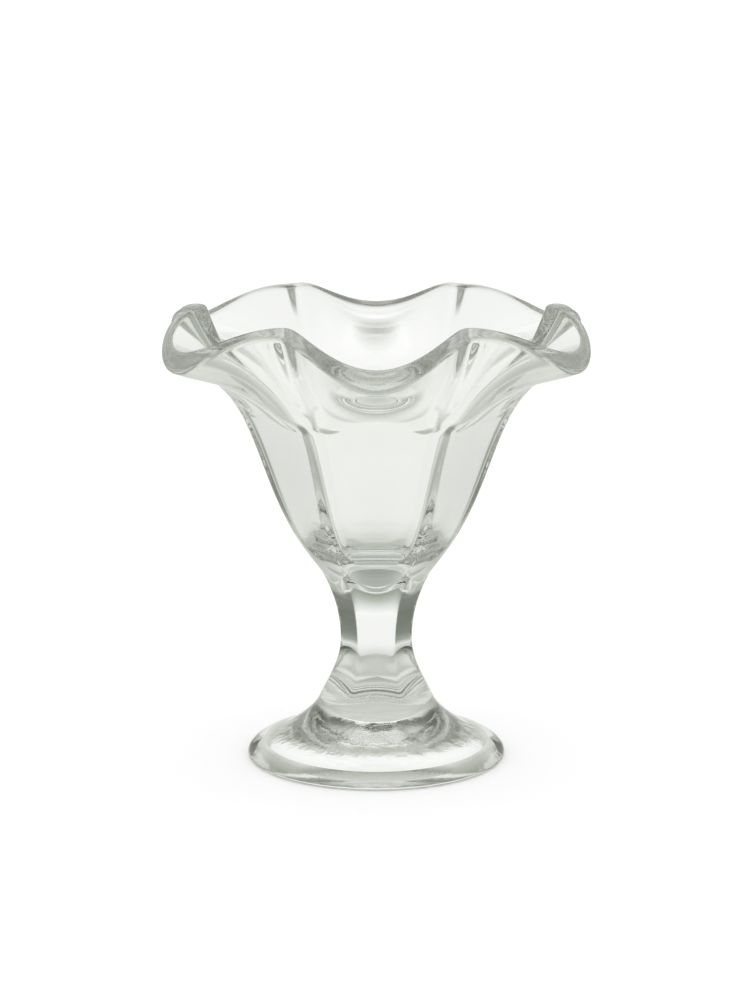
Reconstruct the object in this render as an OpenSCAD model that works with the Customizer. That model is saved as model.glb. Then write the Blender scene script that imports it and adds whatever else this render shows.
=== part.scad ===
// Parfait glass: a footed glass dish with six flat panels, six turned out
// petals at the rim, a waisted stem and a round hollow foot.
// The rim's crests and the panels' corners lie at 0, 60, 120... degrees.
// The middle of each petal and of each panel lies halfway between them.

/* [Rim] */
// Height of the six crests above the table
crest_height = 125.6; // [112:0.2:140]
// How much lower the middle of each petal's lip is
petal_drop = 7.8; // [4:0.2:11]
// Width across two opposite petals
petal_across = 123.6; // [114:0.2:136]
// Width across two opposite crests
crest_across = 103; // [94:0.2:108]
// Thickness of the lip
lip_thick = 6.2; // [4:0.1:7]
// Radius of the rounds along both edges of the lip
lip_round = 1.3; // [0.6:0.1:1.9]

/* [Bowl] */
// Thickness of the panels
wall = 3.6; // [2.6:0.1:4.4]
// Height at which the petals start to turn out
flare_height = 96; // [90:1:102]
// Width across two opposite corners where the petals start
flare_across = 73.8; // [68:0.2:80]
// Height of the corners where the bowl meets the stem
neck_height = 54; // [50:0.5:58]
// Width across two opposite corners where the bowl meets the stem
neck_across = 31.6; // [28:0.2:36]
// How much lower the middle of each panel meets the stem
neck_arch = 3.4; // [1:0.1:5]
// Height of the bowl's floor inside
floor_height = 57.5; // [55.5:0.1:60]
// Depth of the rounded corner between the walls and the floor
floor_round = 4; // [2:0.1:6]

/* [Stem] */
// Width of the stem at its waist, across two opposite corners
waist_across = 19.6; // [15:0.2:24]
// Height of the waist
waist_height = 33; // [28:0.5:38]

/* [Foot] */
// Width of the foot
foot_across = 71.2; // [60:0.2:84]
// Height at which the stem stands on the foot
foot_height = 16.6; // [15:0.1:19]
// Width of the round seat that the stem stands on
seat_across = 31; // [28:0.2:36]
// Height at which the foot's top starts to round down at its edge
edge_height = 4.4; // [3.8:0.1:5.2]
// Width of that rounded edge
edge_width = 4.4; // [3.4:0.1:5.4]
// Radius of the round at the bottom of the foot's outer edge
edge_round = 0.8; // [0.4:0.1:1.2]
// Width of the flat ring that the foot stands on
ring_width = 4.4; // [3:0.1:6.4]
// Height of the upright wall around the hollow under the foot
ring_height = 3; // [1.5:0.1:3.3]
// Height of the hollow's flat top
hollow_height = 9.8; // [7:0.1:12]
// Width of the hollow's flat top
hollow_top_across = 18; // [12:0.2:24]

/* [Hidden] */

// Number of columns around the bowl and the stem, a multiple of twelve
columns = 96;
// Rows along each stretch of the bowl and the stem
cup_rows = 9;
flare_rows = 11;
lip_rows = 6;
floor_rows = 5;
cap_rows = 3;
stem_rows = 7;
// Steps along the foot's curves
foot_steps = 12;
edge_steps = 5;
hollow_steps = 8;
// Steps of the turn around the bottom of the foot's edge
edge_turn_steps = 4;

panels = 6;
panel_angle = 360 / panels;
half_angle = panel_angle / 2;

// The exponent that rounds the corners of each ring
corner_power = 30;
// How softly the crests fold, as a share of the fold's depth
crest_soft_share = 0.15;
// Exponents of the rim's wave and of the arch at the neck
wave_power = 1.2;
arch_power = 0.45;

// Half widths
neck_r = neck_across / 2;
flare_r = flare_across / 2;
waist_r = waist_across / 2;
seat_r = seat_across / 2;
foot_r = foot_across / 2;
lip_r = lip_thick / 2;
lip_flat_r = lip_r - lip_round;
hollow_top_r = hollow_top_across / 2;
hollow_r = foot_r - edge_round - ring_width;

// How steeply the stem's outline runs down into the foot's, and the foot's
// into its rounded edge
seat_tilt = 67;
edge_tilt = 16;

// Heading of the lip's section above level, at a crest and at a petal
crest_tilt = 68;
petal_tilt = 22;

// The half turn over the lip's end, from 90 to -90, crosses its flat between
// this and minus this
flat_turn = 22.5;

// Control points of the bowl's corner line, as shares of the way up and out
cup_shares = [[0.58, 0.3], [0.67, 0.68]];
// Reach of the flare's handles, as shares of the flare's height
crest_reach_shares = [0.11, 0.47];
petal_reach_shares = [0.78, 0.64];
// Reach of the stem's handles as shares of the height from foot to waist, and
// the control points of its upper stretch as shares of that stretch
stem_reach_share = 0.34;
waist_reach_share = 0.4;
upper_stem_shares = [[0, 0.5], [0.73, 0.81]];
// Reach of the handles of the foot's top and of its edge, as shares of the
// height of each, and the control points of the hollow as shares of it
top_reach_shares = [0.54, 0.25];
edge_reach_shares = [0.55, 0.4];
hollow_shares = [[0.2, 0.35], [0.6, 0.75]];
// Share of the wall's height at which the rounded floor starts, and the
// share of the floor's width that its curve leaves nearly level
floor_start_share = 0.2;
floor_level_share = 0.62;

// A point of a cubic curve
function curve(a, b, c, d, u) =
    a * pow(1 - u, 3) + 3 * b * u * pow(1 - u, 2) + 3 * c * pow(u, 2) * (1 - u) + d * pow(u, 3);
// The heading of a cubic curve at the same point
function curve_way(a, b, c, d, u) =
    (b - a) * pow(1 - u, 2) + 2 * (c - b) * u * (1 - u) + (d - c) * pow(u, 2);
function unit(v) = v / norm(v);
// The point that lies at a share of the way from one corner of a box to the other
function part_way(a, b, share) = [a[0] + (b[0] - a[0]) * share[0], a[1] + (b[1] - a[1]) * share[1]];
// An S shaped step from 0 to 1
function ease(u) = u * u * (3 - 2 * u);

// Angle from the nearest corner, from 0 to half a panel
function from_corner(angle) =
    let (a = angle % panel_angle)
    min(a, panel_angle - a);

// Radius of a hexagon with rounded corners around a circle of radius 1
function hexagon(a) =
    let (p = half_angle - a)
    pow(pow(cos(p), corner_power) + pow(cos(panel_angle - p), corner_power)
        + pow(cos(panel_angle + p), corner_power), -1 / corner_power);
corner_ratio = hexagon(0) / hexagon(half_angle);

// How much of the corner each angle shows, from 1 at a corner to 0 at a panel's middle
function hexagon_share(a) = (hexagon(a) / hexagon(half_angle) - 1) / (corner_ratio - 1);
function fold_share(a) =
    let (e = crest_soft_share)
    1 - (sqrt(pow(sin(3 * a), 2) + e * e) - e) / (sqrt(1 + e * e) - e);
function wave_share(a) = 1 - pow((1 - cos(panels * a)) / 2, wave_power);
function arch_share(a) = 1 - pow((1 - cos(panels * a)) / 2, arch_power);

// The bowl's corner line from the neck to the flare, outside
cup_low = [neck_r, neck_height];
cup_top = [flare_r, flare_height];
cup_b = part_way(cup_low, cup_top, cup_shares[0]);
cup_c = part_way(cup_low, cup_top, cup_shares[1]);
function squeeze(p) = [p[0] / corner_ratio, p[1]];

function heading(tilt) = [cos(tilt), sin(tilt)];
function inward(way) = [-way[1], way[0]];

// Middle of the lip's section, whose rounded edges reach just as far out and
// up as given, where the lip heads outward at a tilt above level
function lip_centre(out, top, tilt) =
    [out - lip_round - lip_flat_r * sin(tilt), top - lip_round - lip_flat_r * cos(tilt)];
crest_centre = lip_centre(crest_across / 2, crest_height, crest_tilt);
petal_centre = lip_centre(petal_across / 2, crest_height - petal_drop, petal_tilt);
// A point of the lip's end, which is flat between two rounded edges
function lip_point(centre, tilt, turn) =
    let (side = max(-1, min(1, turn / flat_turn)))
    let (bend = 90 * (turn - flat_turn * side) / (90 - flat_turn))
    centre - lip_flat_r * side * inward(heading(tilt)) + lip_round * heading(tilt - bend);

// The flare's line outside, at a corner and at the middle of a panel
flare_rise = crest_height - flare_height;
crest_a = cup_top;
crest_d = lip_point(crest_centre, crest_tilt, 90);
crest_b = crest_a + crest_reach_shares[0] * flare_rise * unit(cup_top - cup_c);
crest_c = crest_d - crest_reach_shares[1] * flare_rise * heading(crest_tilt);
petal_a = squeeze(cup_top);
petal_d = lip_point(petal_centre, petal_tilt, 90);
petal_b = petal_a + petal_reach_shares[0] * (petal_d[1] - petal_a[1]) * unit(squeeze(cup_top) - squeeze(cup_c));
petal_c = petal_d - petal_reach_shares[1] * (petal_d[1] - petal_a[1]) * heading(petal_tilt);

// A row of the bowl: its point at the corner, its point at the panel's
// middle, how far its shape has turned from hexagon to petal, and how far
// its height follows the neck's arch in place of the rim's wave
function row_point(row, a) =
    let (corner = row[0], middle = row[1], petal = row[2], arch = row[3])
    let (out = hexagon_share(a) * (1 - petal) + fold_share(a) * petal)
    let (up = wave_share(a) * (1 - arch) + arch_share(a) * arch)
    [middle[0] + (corner[0] - middle[0]) * out, middle[1] + (corner[1] - middle[1]) * up];

// Rows of the outside, from the neck up to the lip
function cup_row(u) =
    let (p = curve(cup_low, cup_b, cup_c, cup_top, u))
    [p, squeeze(p) - [0, neck_arch * pow(1 - u, 2)], 0, 1];
function flare_row(u) =
    [curve(crest_a, crest_b, crest_c, crest_d, u), curve(petal_a, petal_b, petal_c, petal_d, u), ease(u), 0];
outside_rows = concat(
    [for (i = [0 : cup_rows - 1]) cup_row(i / cup_rows)],
    [for (i = [0 : flare_rows]) flare_row(i / flare_rows)]);

// Rows over the lip's end, between the outside and the inside
lip_band = [for (i = [1 : lip_rows - 1])
    let (turn = 90 - 180 * i / lip_rows)
    [lip_point(crest_centre, crest_tilt, turn), lip_point(petal_centre, petal_tilt, turn), 1, 0]];

// Rows of the inside, a wall's thickness in from the outside
function inner(p, way, thick) = p + thick * inward(unit(way));
function inner_flare_row(u) =
    let (thick = wall + (lip_thick - wall) * u)
    [inner(curve(crest_a, crest_b, crest_c, crest_d, u), curve_way(crest_a, crest_b, crest_c, crest_d, u),
           thick * (corner_ratio + (1 - corner_ratio) * u)),
     inner(curve(petal_a, petal_b, petal_c, petal_d, u), curve_way(petal_a, petal_b, petal_c, petal_d, u), thick),
     ease(u), 0];
function inner_cup_row(u) =
    let (p = curve(cup_low, cup_b, cup_c, cup_top, u))
    let (q = inner(squeeze(p), squeeze(curve_way(cup_low, cup_b, cup_c, cup_top, u)), wall))
    [[q[0] * corner_ratio, q[1]], q, 0, 0];
// The floor's rounded corner and its nearly level middle
function floor_row(u) =
    let (start = inner_cup_row(floor_start_share)[1])
    let (way = unit(squeeze(curve_way(cup_low, cup_b, cup_c, cup_top, floor_start_share))))
    let (q = curve(start, start - floor_round * way, [start[0] * floor_level_share, floor_height],
                   [0, floor_height], u))
    [[q[0] * corner_ratio, q[1]], q, 0, 0];
inside_rows = concat(
    [for (i = [flare_rows : -1 : 0]) inner_flare_row(i / flare_rows)],
    [for (i = [cup_rows - 1 : -1 : 0]) inner_cup_row(floor_start_share + (1 - floor_start_share) * i / cup_rows)],
    [for (i = [1 : floor_rows - 1]) floor_row(i / floor_rows)]);

// Rows of the level cap where the bowl stands on the stem, from the axis out
neck_middle = neck_height - neck_arch / 2;
function cap_row(u) =
    let (edge = cup_row(0))
    [for (p = [edge[0], edge[1]]) [p[0] * u, neck_middle + (p[1] - neck_middle) * u * u]];
neck_cap = [for (i = [1 : cap_rows - 1]) concat(cap_row(i / cap_rows), [0, 1])];

// The stem's corner line, and how far the round foot end has turned hexagonal
stem_low = [seat_r, foot_height];
stem_waist = [waist_r, waist_height];
stem_top = cup_low;
stem_rise = waist_height - foot_height;
stem_b = stem_low - stem_reach_share * stem_rise * heading(-seat_tilt);
stem_c = stem_waist - [0, waist_reach_share * stem_rise];
function stem_row(p, hexagonal, arch) =
    [p, [p[0] * (1 - (1 - 1 / corner_ratio) * hexagonal), p[1] - neck_arch * arch], 0, 1];
stem_rows_list = concat(
    [for (i = [0 : stem_rows - 1])
        let (u = i / stem_rows)
        stem_row(curve(stem_low, stem_b, stem_c, stem_waist, u), ease(u), 0)],
    [for (i = [0 : stem_rows])
        let (u = i / stem_rows)
        stem_row(curve(stem_waist, part_way(stem_waist, stem_top, upper_stem_shares[0]),
                       part_way(stem_waist, stem_top, upper_stem_shares[1]), stem_top, u), 1, pow(u, 3))]);

// A closed skin through rows of points, between two points on the axis
module skin(rows, low, high) {
    n = columns;
    points = concat(
        [[0, 0, low]],
        [for (row = rows, i = [0 : n - 1])
            let (angle = 360 * i / n, p = row_point(row, from_corner(angle)))
            [p[0] * cos(angle), p[0] * sin(angle), p[1]]],
        [[0, 0, high]]);
    last = len(rows) - 1;
    end = len(points) - 1;
    function at(j, i) = 1 + j * n + i % n;
    faces = concat(
        [for (i = [0 : n - 1]) [0, at(0, i), at(0, i + 1)]],
        [for (j = [0 : last - 1], i = [0 : n - 1], half = [0, 1])
            half == 0 ? [at(j, i), at(j + 1, i), at(j, i + 1)] : [at(j, i + 1), at(j + 1, i), at(j + 1, i + 1)]],
        [for (i = [0 : n - 1]) [end, at(last, i + 1), at(last, i)]]);
    polyhedron(points, faces);
}

module bowl() {
    color([0.86, 0.9, 0.88, 0.5])
    skin(concat(neck_cap, outside_rows, lip_band, inside_rows), neck_middle, floor_height);
}

module stem() {
    color([0.8, 0.86, 0.84, 0.5])
    skin(concat(stem_rows_list, [for (i = [cap_rows - 2 : -1 : 0]) neck_cap[i]]), foot_height, neck_middle);
}

// The foot's outline, from the seat out over the top, around the edge and
// back through the hollow
module foot() {
    seat_edge = [seat_r, foot_height];
    shoulder = [foot_r - edge_width, edge_height];
    top_rise = foot_height - edge_height;
    edge_centre = [foot_r - edge_round, edge_round];
    edge_low = edge_centre + [edge_round, 0];
    edge_rise = edge_height - edge_round;
    hollow_low = [hollow_r, ring_height];
    hollow_top = [hollow_top_r, hollow_height];
    outline = concat(
        [[0, foot_height]],
        [for (i = [0 : foot_steps])
            curve(seat_edge, seat_edge + top_reach_shares[0] * top_rise * heading(-seat_tilt),
                  shoulder - top_reach_shares[1] * top_rise * heading(-edge_tilt), shoulder, i / foot_steps)],
        [for (i = [1 : edge_steps])
            curve(shoulder, shoulder + edge_reach_shares[0] * edge_rise * heading(-edge_tilt),
                  edge_low + [0, edge_reach_shares[1] * edge_rise], edge_low, i / edge_steps)],
        [for (i = [1 : edge_turn_steps]) edge_centre + edge_round * heading(-90 * i / edge_turn_steps)],
        [[hollow_r, 0]],
        [for (i = [0 : hollow_steps])
            curve(hollow_low, part_way(hollow_low, hollow_top, hollow_shares[0]),
                  part_way(hollow_low, hollow_top, hollow_shares[1]), hollow_top, i / hollow_steps)],
        [[0, hollow_height]]);
    color([0.83, 0.89, 0.87, 0.5])
    rotate_extrude($fn = columns)
    polygon(outline);
}

bowl();
stem();
foot();
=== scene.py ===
"""Parfait glass: the clear finish of its bowl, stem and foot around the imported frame."""

import math

import bpy
import numpy as np
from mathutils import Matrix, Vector, noise


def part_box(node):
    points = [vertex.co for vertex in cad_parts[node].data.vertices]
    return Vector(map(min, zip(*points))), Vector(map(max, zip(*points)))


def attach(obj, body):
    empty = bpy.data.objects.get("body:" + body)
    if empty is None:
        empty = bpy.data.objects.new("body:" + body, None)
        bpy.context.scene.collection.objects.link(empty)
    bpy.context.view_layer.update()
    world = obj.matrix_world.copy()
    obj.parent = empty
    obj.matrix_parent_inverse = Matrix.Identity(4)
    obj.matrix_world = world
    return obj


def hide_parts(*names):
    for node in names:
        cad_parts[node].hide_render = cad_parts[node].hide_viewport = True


bl_info = {
    "name": "Parfait Glass",
    "version": (1, 0, 0),
    "blender": (4, 5, 0),
    "location": "View3D > Sidebar > Parfait Glass",
    "description": "Builds a footed pressed glass dish with six petals, and its studio",
    "category": "Add Mesh",
}

MM = 0.001
BODY = "root"

# The glass has six equal sides around its upright axis
SIDES = 6
SIDE_ANGLE = math.tau / SIDES
HALF_ANGLE = SIDE_ANGLE / 2

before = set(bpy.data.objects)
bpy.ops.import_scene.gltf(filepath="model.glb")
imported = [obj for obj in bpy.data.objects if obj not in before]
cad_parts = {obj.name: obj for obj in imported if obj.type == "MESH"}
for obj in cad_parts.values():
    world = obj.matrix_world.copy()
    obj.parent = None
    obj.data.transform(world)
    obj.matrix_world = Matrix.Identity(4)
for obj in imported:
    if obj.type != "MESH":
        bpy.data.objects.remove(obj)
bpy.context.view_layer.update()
BOWL_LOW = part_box("bowl")[0]
STEM_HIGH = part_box("stem")[1]
FOOT_LOW, FOOT_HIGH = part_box("foot")


class GlassSizes(bpy.types.PropertyGroup):
    """Lengths of the glass"""

    crest_height: bpy.props.FloatProperty(
        name="Crest height",
        description="Height of the rim's crests above the table",
        default=125.6 * MM,
        unit="LENGTH",
    )
    petal_drop: bpy.props.FloatProperty(
        name="Petal drop",
        description="How much lower the middle of each petal's lip is",
        default=7.8 * MM,
        unit="LENGTH",
    )
    petal_across: bpy.props.FloatProperty(
        name="Across petals",
        description="Width across two opposite petals",
        default=123.6 * MM,
        unit="LENGTH",
    )
    crest_across: bpy.props.FloatProperty(
        name="Across crests",
        description="Width across two opposite crests",
        default=103 * MM,
        unit="LENGTH",
    )
    lip_thick: bpy.props.FloatProperty(
        name="Lip thickness",
        description="Thickness of the lip",
        default=6.2 * MM,
        unit="LENGTH",
    )
    lip_round: bpy.props.FloatProperty(
        name="Lip round",
        description="Radius of the rounds along both edges of the lip",
        default=1.3 * MM,
        unit="LENGTH",
    )
    wall: bpy.props.FloatProperty(
        name="Wall",
        description="Thickness of the panels",
        default=3.6 * MM,
        unit="LENGTH",
    )
    flare_height: bpy.props.FloatProperty(
        name="Flare height",
        description="Height at which the petals start to turn out",
        default=96 * MM,
        unit="LENGTH",
    )
    flare_across: bpy.props.FloatProperty(
        name="Flare width",
        description="Width across two opposite corners where the petals start",
        default=73.8 * MM,
        unit="LENGTH",
    )
    neck_height: bpy.props.FloatProperty(
        name="Neck height",
        description="Height of the corners where the bowl meets the stem",
        default=STEM_HIGH[2],
        unit="LENGTH",
    )
    neck_across: bpy.props.FloatProperty(
        name="Neck width",
        description="Width across two opposite corners where the bowl meets the stem",
        default=31.6 * MM,
        unit="LENGTH",
    )
    neck_arch: bpy.props.FloatProperty(
        name="Neck arch",
        description="How much lower the middle of each panel meets the stem",
        default=STEM_HIGH[2] - BOWL_LOW[2],
        unit="LENGTH",
    )
    floor_height: bpy.props.FloatProperty(
        name="Floor height",
        description="Height of the bowl's floor inside",
        default=57.5 * MM,
        unit="LENGTH",
    )
    floor_round: bpy.props.FloatProperty(
        name="Floor round",
        description="Depth of the rounded corner between the walls and the floor",
        default=4 * MM,
        unit="LENGTH",
    )
    waist_across: bpy.props.FloatProperty(
        name="Waist width",
        description="Width of the stem at its waist, across two opposite corners",
        default=19.6 * MM,
        unit="LENGTH",
    )
    waist_height: bpy.props.FloatProperty(
        name="Waist height",
        description="Height of the stem's waist",
        default=33 * MM,
        unit="LENGTH",
    )
    foot_across: bpy.props.FloatProperty(
        name="Foot width",
        description="Width of the foot",
        default=FOOT_HIGH[0] - FOOT_LOW[0],
        unit="LENGTH",
    )
    foot_height: bpy.props.FloatProperty(
        name="Foot height",
        description="Height at which the stem stands on the foot",
        default=FOOT_HIGH[2],
        unit="LENGTH",
    )
    seat_across: bpy.props.FloatProperty(
        name="Seat width",
        description="Width of the round seat that the stem stands on",
        default=31 * MM,
        unit="LENGTH",
    )
    edge_height: bpy.props.FloatProperty(
        name="Edge height",
        description="Height at which the foot's top starts to round down at its edge",
        default=4.4 * MM,
        unit="LENGTH",
    )
    edge_width: bpy.props.FloatProperty(
        name="Edge width",
        description="Width of that rounded edge",
        default=4.4 * MM,
        unit="LENGTH",
    )
    edge_round: bpy.props.FloatProperty(
        name="Edge round",
        description="Radius of the round at the bottom of the foot's outer edge",
        default=0.8 * MM,
        unit="LENGTH",
    )
    ring_width: bpy.props.FloatProperty(
        name="Ring width",
        description="Width of the flat ring that the foot stands on",
        default=4.4 * MM,
        unit="LENGTH",
    )
    hollow_height: bpy.props.FloatProperty(
        name="Hollow height",
        description="Height of the hollow under the foot",
        default=9.8 * MM,
        unit="LENGTH",
    )
    ring_height: bpy.props.FloatProperty(
        name="Ring height",
        description="Height of the upright wall around the hollow",
        default=3 * MM,
        unit="LENGTH",
    )
    hollow_top_across: bpy.props.FloatProperty(
        name="Hollow top width",
        description="Width of the hollow's flat top",
        default=18 * MM,
        unit="LENGTH",
    )
    hammer_depth: bpy.props.FloatProperty(
        name="Hammer depth",
        description="Depth of the hammered dimples under the foot",
        default=0.06 * MM,
        unit="LENGTH",
    )
    hammer_size: bpy.props.FloatProperty(
        name="Hammer size",
        description="Width of one hammered dimple under the foot",
        default=4.5 * MM,
        unit="LENGTH",
    )


class GlassFinish(bpy.types.PropertyGroup):
    """Colours and finish of the glass and its studio"""

    glass: bpy.props.FloatVectorProperty(
        name="Glass",
        description="Colour that each face of the glass lets through",
        default=(0.965, 0.975, 0.955),
        size=3,
        min=0.0,
        max=1.0,
        subtype="COLOR",
    )
    index: bpy.props.FloatProperty(
        name="Index",
        description="Refractive index of soda lime glass",
        default=1.52,
    )
    floor: bpy.props.FloatVectorProperty(
        name="Floor",
        description="Colour of the studio's floor",
        default=(0.9, 0.9, 0.9),
        size=3,
        min=0.0,
        max=1.0,
        subtype="COLOR",
    )


def sizes():
    return bpy.context.scene.glass_sizes


def finish():
    return bpy.context.scene.glass_finish


# Shape rules that every ring of the glass shares

CORNER_POWER = 30
CREST_SOFT_SHARE = 0.15
WAVE_POWER = 1.2
ARCH_POWER = 0.45
CREST_TILT = math.radians(68)
PETAL_TILT = math.radians(22)
SEAT_TILT = math.radians(67)
EDGE_TILT = math.radians(16)
CUP_SHARES = ((0.58, 0.3), (0.67, 0.68))
CREST_REACH_SHARES = (0.11, 0.47)
PETAL_REACH_SHARES = (0.78, 0.64)
STEM_REACH_SHARE = 0.34
WAIST_REACH_SHARE = 0.4
UPPER_STEM_SHARES = ((0, 0.5), (0.73, 0.81))
TOP_REACH_SHARES = (0.54, 0.25)
EDGE_REACH_SHARES = (0.55, 0.4)
HOLLOW_SHARES = ((0.2, 0.35), (0.6, 0.75))
LIP_FLAT_TURN = math.pi / 8
FLOOR_START_SHARE = 0.2
FLOOR_LEVEL_SHARE = 0.62

# Columns around the glass and rows along each stretch
COLUMNS = 288
CUP_ROWS = 40
FLARE_ROWS = 44
LIP_ROWS = 16
FLOOR_ROWS = 18
CAP_ROWS = 6
STEM_ROWS = 28
FOOT_ROWS = 36
EDGE_ROWS = 6
RING_ROWS = 8
HOLLOW_ROWS = 70
FOOT_COLUMNS = 576
HAMMER_FADE_ROWS = 36


def curve(points, u):
    """Points of a cubic curve at the shares u"""
    a, b, c, d = (np.asarray(p, float) for p in points)
    u = np.asarray(u, float)[..., None]
    return a * (1 - u) ** 3 + 3 * b * u * (1 - u) ** 2 + 3 * c * u**2 * (1 - u) + d * u**3


def curve_way(points, u):
    """Unit headings of a cubic curve at the shares u"""
    a, b, c, d = (np.asarray(p, float) for p in points)
    u = np.asarray(u, float)[..., None]
    way = (b - a) * (1 - u) ** 2 + 2 * (c - b) * u * (1 - u) + (d - c) * u**2
    return way / np.linalg.norm(way, axis=-1, keepdims=True)


def heading(tilt):
    return np.array([math.cos(tilt), math.sin(tilt)])


def unit(way):
    return way / np.linalg.norm(way)


def part_way(a, b, share):
    return a + (b - a) * np.array(share)


def ease(u):
    return u * u * (3 - 2 * u)


def hexagon(a):
    """Radius of a hexagon with rounded corners around a circle of radius 1, at an angle from a corner"""
    p = HALF_ANGLE - a
    total = np.cos(p) ** CORNER_POWER
    total = total + np.cos(SIDE_ANGLE - p) ** CORNER_POWER + np.cos(SIDE_ANGLE + p) ** CORNER_POWER
    return total ** (-1 / CORNER_POWER)


CORNER_RATIO = hexagon(0.0) / hexagon(HALF_ANGLE)


def ring_shares(columns):
    """For each column: its angle, and how much of the corner the four ring forms show there"""
    angle = np.arange(columns) * math.tau / columns
    a = angle % SIDE_ANGLE
    a = np.minimum(a, SIDE_ANGLE - a)
    hexagonal = (hexagon(a) / hexagon(HALF_ANGLE) - 1) / (CORNER_RATIO - 1)
    e = CREST_SOFT_SHARE
    fold = 1 - (np.sqrt(np.sin(SIDES / 2 * a) ** 2 + e * e) - e) / (math.sqrt(1 + e * e) - e)
    half_wave = (1 - np.cos(SIDES * a)) / 2
    return angle, hexagonal, fold, 1 - half_wave**WAVE_POWER, 1 - half_wave**ARCH_POWER


def ring_points(rows, columns):
    """Points of every row, as an array of rows, columns and x, y, z"""
    angle, hexagonal, fold, wave, arch = ring_shares(columns)
    corner, middle, petal, arched = (np.array([row[i] for row in rows]) for i in range(4))
    petal = petal[:, None]
    arched = arched[:, None]
    out = hexagonal * (1 - petal) + fold * petal
    up = wave * (1 - arched) + arch * arched
    r = middle[:, :1] + (corner - middle)[:, :1] * out
    z = middle[:, 1:] + (corner - middle)[:, 1:] * up
    return np.stack([r * np.cos(angle), r * np.sin(angle), z], axis=-1)


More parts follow.
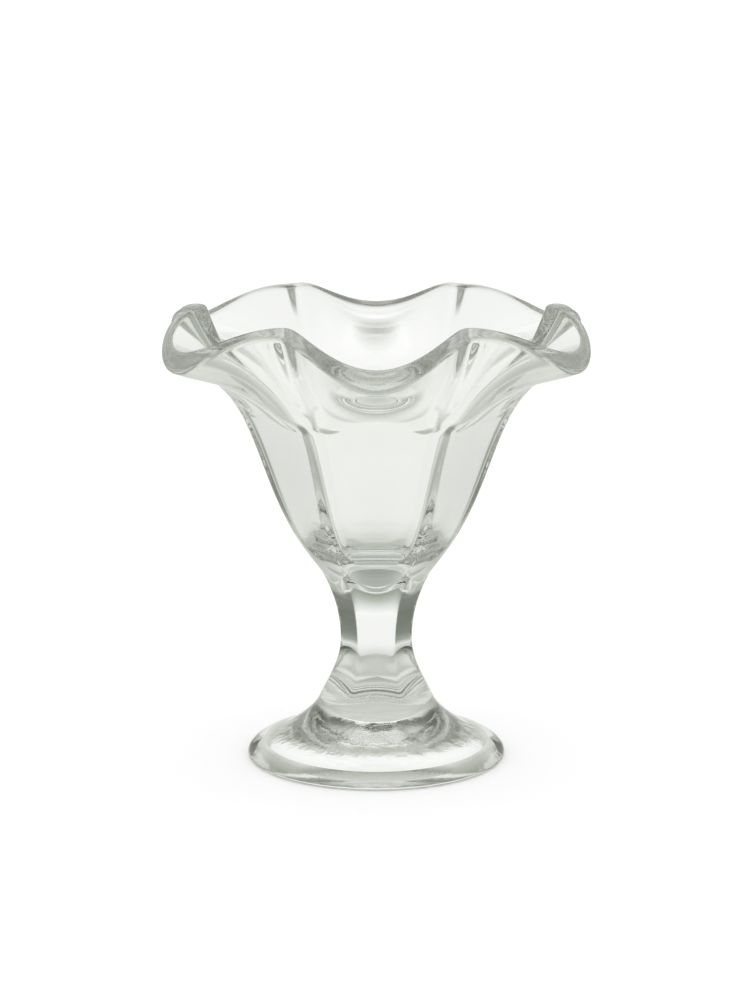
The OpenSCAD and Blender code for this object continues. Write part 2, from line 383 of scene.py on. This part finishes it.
class Profile:
    """The section lines of the glass, worked out from its sizes"""

    def __init__(self, s):
        self.s = s
        self.lip_r = s.lip_thick / 2
        self.lip_flat = self.lip_r - s.lip_round
        self.crest_centre = self.lip_centre(s.crest_across / 2, s.crest_height, CREST_TILT)
        self.petal_centre = self.lip_centre(s.petal_across / 2, s.crest_height - s.petal_drop, PETAL_TILT)
        low = np.array([s.neck_across / 2, s.neck_height])
        top = np.array([s.flare_across / 2, s.flare_height])
        self.cup = (low, part_way(low, top, CUP_SHARES[0]), part_way(low, top, CUP_SHARES[1]), top)
        self.panel = tuple(self.squeeze(p) for p in self.cup)
        rise = s.crest_height - s.flare_height
        end = self.crest_centre + self.lip_r * heading(CREST_TILT - math.pi / 2)
        self.crest = (
            top,
            top + CREST_REACH_SHARES[0] * rise * unit(self.cup[3] - self.cup[2]),
            end - CREST_REACH_SHARES[1] * rise * heading(CREST_TILT),
            end,
        )
        start = self.panel[3]
        end = self.petal_centre + self.lip_r * heading(PETAL_TILT - math.pi / 2)
        rise = end[1] - start[1]
        self.petal = (
            start,
            start + PETAL_REACH_SHARES[0] * rise * unit(self.panel[3] - self.panel[2]),
            end - PETAL_REACH_SHARES[1] * rise * heading(PETAL_TILT),
            end,
        )
        seat = np.array([s.seat_across / 2, s.foot_height])
        waist = np.array([s.waist_across / 2, s.waist_height])
        rise = s.waist_height - s.foot_height
        self.lower_stem = (
            seat,
            seat - STEM_REACH_SHARE * rise * heading(-SEAT_TILT),
            waist - np.array([0, WAIST_REACH_SHARE * rise]),
            waist,
        )
        self.upper_stem = (
            waist,
            part_way(waist, low, UPPER_STEM_SHARES[0]),
            part_way(waist, low, UPPER_STEM_SHARES[1]),
            low,
        )
        foot_r = s.foot_across / 2
        shoulder = np.array([foot_r - s.edge_width, s.edge_height])
        rise = s.foot_height - s.edge_height
        self.foot = (
            seat,
            seat + TOP_REACH_SHARES[0] * rise * heading(-SEAT_TILT),
            shoulder - TOP_REACH_SHARES[1] * rise * heading(-EDGE_TILT),
            shoulder,
        )
        rise = s.edge_height - s.edge_round
        self.edge = (
            shoulder,
            shoulder + EDGE_REACH_SHARES[0] * rise * heading(-EDGE_TILT),
            np.array([foot_r, s.edge_round + EDGE_REACH_SHARES[1] * rise]),
            np.array([foot_r, s.edge_round]),
        )
        mouth = np.array([foot_r - s.edge_round - s.ring_width, s.ring_height])
        top = np.array([s.hollow_top_across / 2, s.hollow_height])
        self.hollow = (
            mouth,
            part_way(mouth, top, HOLLOW_SHARES[0]),
            part_way(mouth, top, HOLLOW_SHARES[1]),
            top,
        )

    def squeeze(self, p):
        return np.array([p[0] / CORNER_RATIO, p[1]])

    def lip_centre(self, out, top, tilt):
        """Middle of the lip, where its edges reach just as far out and up as given"""
        across = heading(tilt + math.pi / 2)
        return np.array([out, top]) - self.s.lip_round - self.lip_flat * np.abs(across)

    def lip_point(self, centre, tilt, turn):
        """A point of the lip's end, which is flat between two rounded edges"""
        side = min(1.0, max(-1.0, turn / LIP_FLAT_TURN))
        across = heading(tilt + math.pi / 2)
        bend = (turn - LIP_FLAT_TURN * side) * (math.pi / 2) / (math.pi / 2 - LIP_FLAT_TURN)
        return centre - self.lip_flat * side * across + self.s.lip_round * heading(tilt - bend)

    def cup_row(self, u):
        p = curve(self.cup, u)
        drop = np.array([0, self.s.neck_arch * (1 - u) ** 2])
        return p, self.squeeze(p) - drop, 0.0, 1.0

    def flare_row(self, u):
        return curve(self.crest, u), curve(self.petal, u), ease(u), 0.0

    def lip_row(self, u):
        turn = math.pi / 2 - math.pi * u
        crest = self.lip_point(self.crest_centre, CREST_TILT, turn)
        return crest, self.lip_point(self.petal_centre, PETAL_TILT, turn), 1.0, 0.0

    def inner(self, line, u, thick):
        way = curve_way(line, u)
        return curve(line, u) + thick * np.array([-way[1], way[0]])

    def inner_flare_row(self, u):
        thick = self.s.wall + (self.s.lip_thick - self.s.wall) * u
        crest = self.inner(self.crest, u, thick * (CORNER_RATIO + (1 - CORNER_RATIO) * u))
        return crest, self.inner(self.petal, u, thick), ease(u), 0.0

    def inner_cup_row(self, u):
        q = self.inner(self.panel, u, self.s.wall)
        return q * np.array([CORNER_RATIO, 1]), q, 0.0, 0.0

    def floor_row(self, u):
        start = self.inner(self.panel, FLOOR_START_SHARE, self.s.wall)
        way = curve_way(self.panel, FLOOR_START_SHARE)
        level = np.array([start[0] * FLOOR_LEVEL_SHARE, self.s.floor_height])
        q = curve((start, start - self.s.floor_round * way, level, (0, self.s.floor_height)), u)
        return q * np.array([CORNER_RATIO, 1]), q, 0.0, 0.0

    def neck_middle(self):
        return self.s.neck_height - self.s.neck_arch / 2

    def cap_row(self, u):
        corner, middle = self.cup_row(0)[:2]
        flat = np.array([0, self.neck_middle()])
        bend = np.array([u, u * u])
        return flat + (corner - flat) * bend, flat + (middle - flat) * bend, 0.0, 1.0

    def stem_row(self, line, u, hexagonal, arch):
        p = curve(line, u)
        narrow = 1 - (1 - 1 / CORNER_RATIO) * hexagonal
        return p, np.array([p[0] * narrow, p[1] - self.s.neck_arch * arch]), 0.0, 1.0


def skin(name, points, low, high, slots, sharp_rows, materials):
    """A closed mesh through rings of points between two points on the axis

    slots gives the material slot of every band of faces that isn't plain
    polished glass, where band 0 is the fan at the low end.
    """
    rows, columns = points.shape[:2]
    vertices = [(0.0, 0.0, low)] + [tuple(p) for p in points.reshape(-1, 3)] + [(0.0, 0.0, high)]
    end = len(vertices) - 1
    faces = []
    bands = []

    def at(row, column):
        return 1 + row * columns + column % columns

    for i in range(columns):
        faces.append((0, at(0, i + 1), at(0, i)))
        bands.append(0)
    for j in range(rows - 1):
        for i in range(columns):
            faces.append((at(j, i), at(j, i + 1), at(j + 1, i + 1), at(j + 1, i)))
            bands.append(j + 1)
    for i in range(columns):
        faces.append((end, at(rows - 1, i), at(rows - 1, i + 1)))
        bands.append(rows)
    mesh = bpy.data.meshes.new(name)
    mesh.from_pydata(vertices, [], faces)
    mesh.validate()
    for material in materials:
        mesh.materials.append(material)
    mesh.polygons.foreach_set("material_index", [slots.get(band, 0) for band in bands])
    mesh.polygons.foreach_set("use_smooth", [True] * len(faces))
    sharp = mesh.attributes.new("sharp_edge", "BOOLEAN", "EDGE")
    ring_of = np.full(len(vertices), -1)
    for j in sharp_rows:
        ring_of[at(j, 0) : at(j, 0) + columns] = j
    ends = np.array([edge.vertices[:] for edge in mesh.edges])
    on_ring = (ring_of[ends[:, 0]] >= 0) & (ring_of[ends[:, 0]] == ring_of[ends[:, 1]])
    sharp.data.foreach_set("value", on_ring)
    mesh.update()
    piece = bpy.data.objects.new(name, mesh)
    bpy.context.scene.collection.objects.link(piece)
    return piece


def join_frame(piece, node):
    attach(piece, BODY)
    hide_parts(node)


# Materials

# Slots of a piece that aren't plain polished glass
SEAM_SLOT = 1
GRAIN_SLOT = 2

# Roughness of each glass, and scale, detail, strength and depth of the noise on its surface:
# slow ripples left by the mould, the faint grain of the fire polished lip, and the hollow's fine dimples
GRAINS = {
    "polished_glass": (0.0, 90, 2, 0.15, 0.1 * MM),
    "satin_glass": (0.18, 300, 2, 0.2, 0.1 * MM),
    "hammered_glass": (0.03, 700, 4, 0.25, 0.2 * MM),
}


def new_material(name):
    material = bpy.data.materials.new(name)
    material.use_nodes = True
    nodes = material.node_tree.nodes
    nodes.clear()
    output = nodes.new("ShaderNodeOutputMaterial")
    return material, nodes, material.node_tree.links, output


def glass_material(name):
    """Clear glass with its own grain, made once"""
    if name in bpy.data.materials:
        return bpy.data.materials[name]
    roughness, scale, detail, strength, depth = GRAINS[name]
    material, nodes, links, output = new_material(name)
    shader = nodes.new("ShaderNodeBsdfPrincipled")
    shader.inputs["Base Color"].default_value = (*finish().glass, 1)
    shader.inputs["Roughness"].default_value = roughness
    shader.inputs["IOR"].default_value = finish().index
    shader.inputs["Transmission Weight"].default_value = 1.0
    place = nodes.new("ShaderNodeTexCoord")
    grain = nodes.new("ShaderNodeTexNoise")
    grain.inputs["Scale"].default_value = scale
    grain.inputs["Detail"].default_value = detail
    bump = nodes.new("ShaderNodeBump")
    bump.inputs["Strength"].default_value = strength
    bump.inputs["Distance"].default_value = depth
    links.new(place.outputs["Object"], grain.inputs["Vector"])
    links.new(grain.outputs["Fac"], bump.inputs["Height"])
    links.new(bump.outputs["Normal"], shader.inputs["Normal"])
    links.new(shader.outputs["BSDF"], output.inputs["Surface"])
    return material


def seam_material():
    """Clear faces for where two parts of the glass are fused, as the real glass has no surface there"""
    if "fused_seam" in bpy.data.materials:
        return bpy.data.materials["fused_seam"]
    material, nodes, links, output = new_material("fused_seam")
    clear = nodes.new("ShaderNodeBsdfTransparent")
    links.new(clear.outputs["BSDF"], output.inputs["Surface"])
    return material


class GLASS_OT_bowl(bpy.types.Operator):
    """Builds the six-sided bowl with its petal rim"""

    bl_idname = "glass.bowl"
    bl_label = "Bowl"

    def execute(self, context):
        p = Profile(sizes())
        rows = [p.cap_row(i / CAP_ROWS) for i in range(1, CAP_ROWS)]
        neck = len(rows)
        rows += [p.cup_row(i / CUP_ROWS) for i in range(CUP_ROWS)]
        rows += [p.flare_row(i / FLARE_ROWS) for i in range(FLARE_ROWS + 1)]
        rows += [p.lip_row(i / LIP_ROWS) for i in range(1, LIP_ROWS)]
        rows += [p.inner_flare_row(i / FLARE_ROWS) for i in range(FLARE_ROWS, -1, -1)]
        span = 1 - FLOOR_START_SHARE
        rows += [
            p.inner_cup_row(FLOOR_START_SHARE + span * i / CUP_ROWS)
            for i in range(CUP_ROWS - 1, -1, -1)
        ]
        rows += [p.floor_row(i / FLOOR_ROWS) for i in range(1, FLOOR_ROWS)]
        points = ring_points(rows, COLUMNS)
        slots = {band: SEAM_SLOT for band in range(neck + 1)}
        lip = neck + CUP_ROWS + FLARE_ROWS + 1
        for band in range(lip, lip + LIP_ROWS):
            slots[band] = GRAIN_SLOT
        materials = (glass_material("polished_glass"), seam_material(), glass_material("satin_glass"))
        bowl = skin("bowl_glass", points, p.neck_middle(), p.s.floor_height, slots, [neck], materials)
        join_frame(bowl, "bowl")
        return {"FINISHED"}


class GLASS_OT_stem(bpy.types.Operator):
    """Builds the waisted stem"""

    bl_idname = "glass.stem"
    bl_label = "Stem"

    def execute(self, context):
        p = Profile(sizes())
        rows = []
        for i in range(STEM_ROWS):
            u = i / STEM_ROWS
            rows.append(p.stem_row(p.lower_stem, u, ease(u), 0.0))
        for i in range(STEM_ROWS + 1):
            u = i / STEM_ROWS
            rows.append(p.stem_row(p.upper_stem, u, 1.0, u**3))
        neck = len(rows) - 1
        rows += [p.cap_row(i / CAP_ROWS) for i in range(CAP_ROWS - 1, 0, -1)]
        points = ring_points(rows, COLUMNS)
        slots = {band: SEAM_SLOT for band in range(neck + 1, len(rows) + 1)}
        slots[0] = SEAM_SLOT
        materials = (glass_material("polished_glass"), seam_material())
        stem = skin("stem_glass", points, p.s.foot_height, p.neck_middle(), slots, [0, neck], materials)
        join_frame(stem, "stem")
        return {"FINISHED"}


def hammered(points, rows, size, depth):
    """Presses dimples into the first rows of points, fading out over the last of them"""
    columns = points.shape[1]
    for j in range(rows):
        fade = min(1.0, (rows - 1 - j) / HAMMER_FADE_ROWS)
        for i in range(columns):
            x, y, z = points[j, i]
            distances = noise.voronoi(Vector((x / size, y / size, 0)))[0]
            dimple = min(1.0, distances[0])
            points[j, i, 2] = z + depth * fade * (dimple - 0.5) * 2
    return points


class GLASS_OT_foot(bpy.types.Operator):
    """Builds the round foot with its hammered hollow"""

    bl_idname = "glass.foot"
    bl_label = "Foot"

    def execute(self, context):
        p = Profile(sizes())
        s = p.s
        mouth, top = p.hollow[0], p.hollow[3]
        line = [np.array([top[0] * i / FLOOR_ROWS, top[1]]) for i in range(1, FLOOR_ROWS)]
        line += [curve(p.hollow, 1 - i / HOLLOW_ROWS) for i in range(HOLLOW_ROWS + 1)]
        corner = len(line)
        line += [mouth * np.array([1, 1 - i / RING_ROWS]) for i in range(1, RING_ROWS + 1)]
        ring = len(line) - 1
        centre = np.array([s.foot_across / 2 - s.edge_round, s.edge_round])
        turns = [math.pi / 2 * (i / EDGE_ROWS - 1) for i in range(EDGE_ROWS)]
        line += [centre + s.edge_round * heading(turn) for turn in turns]
        line += [curve(p.edge, 1 - i / EDGE_ROWS) for i in range(EDGE_ROWS)]
        line += [curve(p.foot, 1 - i / FOOT_ROWS) for i in range(FOOT_ROWS + 1)]
        angle = np.arange(FOOT_COLUMNS) * math.tau / FOOT_COLUMNS
        points = [[(q[0] * math.cos(a), q[0] * math.sin(a), q[1]) for a in angle] for q in line]
        points = hammered(np.array(points), corner, s.hammer_size, s.hammer_depth)
        slots = {band: GRAIN_SLOT for band in range(ring + 1)}
        slots[len(line)] = SEAM_SLOT
        materials = (glass_material("polished_glass"), seam_material(), glass_material("hammered_glass"))
        sharp = [corner - 1, ring, ring + 1, len(line) - 1]
        foot = skin("foot_glass", points, top[1], s.foot_height, slots, sharp, materials)
        join_frame(foot, "foot")
        return {"FINISHED"}


# The studio

# The camera looks down at the glass from this far and this far above level
CAMERA_DISTANCE = 0.82
CAMERA_TILT = math.radians(12.24)
TARGET = Vector((-0.63 * MM, 0.0, 71.7 * MM))
# The photograph is 1000 pixels high, seen by a lens 3000 pixels long
PHOTO_HEIGHT = 1000
LENS_PIXELS = 3000
FILM_HEIGHT = 36
VIEW_LIMIT = 100
FLOOR_RADIUS = 14
FLOOR_COLUMNS = 64
FLOOR_GAP = 0.15 * MM

# Light passes through many faces of the glass, and turns back inside it often
MAX_BOUNCES = 32
MIRROR_BOUNCES = 24

# Level of the even light on the floor and behind everything
FLOOR_LIGHT = 1.3
# How much a middle grey is brighter or darker in red, green and blue
TINT = (-0.015, 0.008, -0.04)
# Light levels for what the glass shows straight through, behind it, beside that and all around.
# Each pair holds an upward part of a direction, from -1 to 1, and the level there.
SEEN_BACK = (
    (-1, 0.45),
    (-0.87, 0.5),
    (-0.62, 0.8),
    (-0.4, 0.95),
    (-0.21, 1),
    (0, 1),
    (0.2, 0.5),
    (0.4, 0.35),
    (0.62, 0.5),
    (1, 0.5),
)
SEEN_SIDE = (
    (-1, 0.25),
    (-0.62, 0.7),
    (-0.42, 0.85),
    (-0.32, 0.4),
    (-0.2, 0.25),
    (0, 0.18),
    (0.5, 0.18),
    (1, 0.5),
)
SEEN_REST = ((-1, 0.4), (-0.62, 0.8), (-0.4, 1), (0, 1), (0.2, 0.8), (0.4, 0.6), (1, 0.5))
# The same for what the glass mirrors, outside or inside
MIRRORED_BACK = (
    (-1, 0.45),
    (-0.87, 0.45),
    (-0.62, 0.5),
    (-0.4, 0.7),
    (-0.2, 0.8),
    (0, 0.6),
    (0.4, 0.7),
    (0.62, 1),
    (1, 1.2),
)
MIRRORED_SIDE = ((-1, 0.8), (-0.62, 0.75), (-0.4, 0.25), (0, 0.35), (0.4, 0.5), (0.62, 0.7), (1, 0.9))
MIRRORED_FRONT = (
    (-1, 0.65),
    (-0.75, 0.55),
    (-0.5, 0.25),
    (-0.2, 0.1),
    (0, 0.05),
    (0.2, 0.08),
    (0.4, 0.1),
    (0.62, 0.2),
    (1, 0.4),
)
# The levels change over from one table to the next between two turns from the back, in degrees
SEEN_LIGHT = ((0, 0, SEEN_BACK), (22, 34, SEEN_SIDE), (68, 85, SEEN_REST))
MIRRORED_LIGHT = ((0, 0, MIRRORED_BACK), (22, 50, MIRRORED_SIDE), (90, 130, MIRRORED_FRONT))


def tinted(level):
    """Grey of a level with the studio's tint, which black and white don't get"""
    share = 4 * level * max(0, 1 - level)
    return (*(level + share * part for part in TINT), 1)


class GLASS_OT_studio(bpy.types.Operator):
    """Builds the floor, the light and the camera"""

    bl_idname = "glass.studio"
    bl_label = "Studio"

    def execute(self, context):
        self.floor()
        self.world()
        self.camera()
        scene = bpy.context.scene
        scene.view_settings.view_transform = "Standard"
        scene.cycles.max_bounces = MAX_BOUNCES
        scene.cycles.glossy_bounces = MIRROR_BOUNCES
        scene.cycles.transmission_bounces = MAX_BOUNCES
        return {"FINISHED"}

    def floor(self):
        turns = [math.tau * i / FLOOR_COLUMNS for i in range(FLOOR_COLUMNS)]
        ring = [(FLOOR_RADIUS * math.cos(a), FLOOR_RADIUS * math.sin(a), -FLOOR_GAP) for a in turns]
        mesh = bpy.data.meshes.new("studio_floor")
        mesh.from_pydata(ring, [], [tuple(range(FLOOR_COLUMNS))])
        material, nodes, links, output = new_material("pale_floor")
        shader = nodes.new("ShaderNodeBsdfDiffuse")
        shader.inputs["Color"].default_value = (*finish().floor, 1)
        links.new(shader.outputs["BSDF"], output.inputs["Surface"])
        mesh.materials.append(material)
        floor = bpy.data.objects.new("studio_floor", mesh)
        floor.visible_glossy = False
        floor.visible_transmission = False
        bpy.context.scene.collection.objects.link(floor)

    def world(self):
        """Light that changes softly by direction

        It has one set of tables for what the glass shows straight through and
        one for what it mirrors, inside or outside. The floor and the bare
        background get one even light.
        """
        world = bpy.data.worlds.new("studio")
        world.use_nodes = True
        nodes = world.node_tree.nodes
        links = world.node_tree.links
        nodes.clear()
        output = nodes.new("ShaderNodeOutputWorld")
        paths = nodes.new("ShaderNodeLightPath")
        place = nodes.new("ShaderNodeTexCoord")
        split = nodes.new("ShaderNodeSeparateXYZ")
        links.new(place.outputs["Generated"], split.inputs["Vector"])
        height = self.place_on(nodes, links, split.outputs["Z"])
        side = nodes.new("ShaderNodeMath")
        side.operation = "ABSOLUTE"
        links.new(split.outputs["X"], side.inputs[0])
        turn = nodes.new("ShaderNodeMath")
        turn.operation = "ARCTAN2"
        links.new(side.outputs["Value"], turn.inputs[0])
        links.new(split.outputs["Y"], turn.inputs[1])
        seen = self.light(nodes, links, height, turn.outputs["Value"], SEEN_LIGHT)
        mirrored = self.light(nodes, links, height, turn.outputs["Value"], MIRRORED_LIGHT)
        choose = nodes.new("ShaderNodeMixRGB")
        links.new(paths.outputs["Glossy Depth"], choose.inputs["Fac"])
        links.new(seen, choose.inputs["Color1"])
        links.new(mirrored, choose.inputs["Color2"])
        glow = nodes.new("ShaderNodeBackground")
        links.new(choose.outputs["Color"], glow.inputs["Color"])
        bare = nodes.new("ShaderNodeBackground")
        bare.inputs["Color"].default_value = (1, 1, 1, 1)
        bare.inputs["Strength"].default_value = FLOOR_LIGHT
        plain = nodes.new("ShaderNodeMath")
        plain.operation = "MAXIMUM"
        links.new(paths.outputs["Diffuse Depth"], plain.inputs[0])
        links.new(paths.outputs["Is Camera Ray"], plain.inputs[1])
        mix = nodes.new("ShaderNodeMixShader")
        links.new(plain.outputs["Value"], mix.inputs["Fac"])
        links.new(glow.outputs["Background"], mix.inputs[1])
        links.new(bare.outputs["Background"], mix.inputs[2])
        links.new(mix.outputs["Shader"], output.inputs["Surface"])
        bpy.context.scene.world = world

    def place_on(self, nodes, links, part):
        """Turns a part of a direction, from -1 to 1, into a place on a ramp"""
        node = nodes.new("ShaderNodeMapRange")
        node.inputs["From Min"].default_value = -1
        links.new(part, node.inputs["Value"])
        return node.outputs["Result"]

    def ramp(self, nodes, links, place, stops):
        """Light along a line from -1 to 1, as pairs of place and level"""
        node = nodes.new("ShaderNodeValToRGB")
        links.new(place, node.inputs["Fac"])
        elements = node.color_ramp.elements
        while len(elements) < len(stops):
            elements.new(1.0)
        for element, (at, level) in zip(elements, stops):
            element.position = (at + 1) / 2
            element.color = tinted(level)
        return node.outputs["Color"]

    def light(self, nodes, links, height, turn, columns):
        """Light that changes by height, and from table to table around the glass"""
        light = None
        for start, end, stops in columns:
            column = self.ramp(nodes, links, height, stops)
            if light is None:
                light = column
                continue
            share = nodes.new("ShaderNodeMapRange")
            share.inputs["From Min"].default_value = math.radians(start)
            share.inputs["From Max"].default_value = math.radians(end)
            links.new(turn, share.inputs["Value"])
            mix = nodes.new("ShaderNodeMixRGB")
            links.new(share.outputs["Result"], mix.inputs["Fac"])
            links.new(light, mix.inputs["Color1"])
            links.new(column, mix.inputs["Color2"])
            light = mix.outputs["Color"]
        return light

    def camera(self):
        data = bpy.data.cameras.new("studio_camera")
        data.sensor_fit = "VERTICAL"
        data.sensor_height = FILM_HEIGHT
        data.lens = FILM_HEIGHT * LENS_PIXELS / PHOTO_HEIGHT
        data.clip_end = VIEW_LIMIT
        camera = bpy.data.objects.new("studio_camera", data)
        away = Vector((0, -math.cos(CAMERA_TILT), math.sin(CAMERA_TILT)))
        camera.location = TARGET + CAMERA_DISTANCE * away
        camera.rotation_euler = (-away).to_track_quat("-Z", "Y").to_euler()
        bpy.context.scene.collection.objects.link(camera)
        bpy.context.scene.camera = camera


class GLASS_PT_panel(bpy.types.Panel):
    """Lists the parts of the glass and their sizes"""

    bl_label = "Parfait Glass"
    bl_idname = "GLASS_PT_panel"
    bl_space_type = "VIEW_3D"
    bl_region_type = "UI"
    bl_category = "Parfait Glass"

    def draw(self, context):
        layout = self.layout
        for operator in OPERATORS:
            layout.operator(operator.bl_idname)
        for group in (context.scene.glass_sizes, context.scene.glass_finish):
            for name in group.__annotations__:
                layout.prop(group, name)


OPERATORS = (GLASS_OT_bowl, GLASS_OT_stem, GLASS_OT_foot, GLASS_OT_studio)
CLASSES = (GlassSizes, GlassFinish, *OPERATORS, GLASS_PT_panel)


def register():
    for cls in CLASSES:
        bpy.utils.register_class(cls)
    bpy.types.Scene.glass_sizes = bpy.props.PointerProperty(type=GlassSizes)
    bpy.types.Scene.glass_finish = bpy.props.PointerProperty(type=GlassFinish)


def unregister():
    del bpy.types.Scene.glass_finish
    del bpy.types.Scene.glass_sizes
    for cls in reversed(CLASSES):
        bpy.utils.unregister_class(cls)


def main():
    register()
    bpy.ops.glass.bowl()
    bpy.ops.glass.stem()
    bpy.ops.glass.foot()
    bpy.ops.glass.studio()


if __name__ == "__main__":
    main()
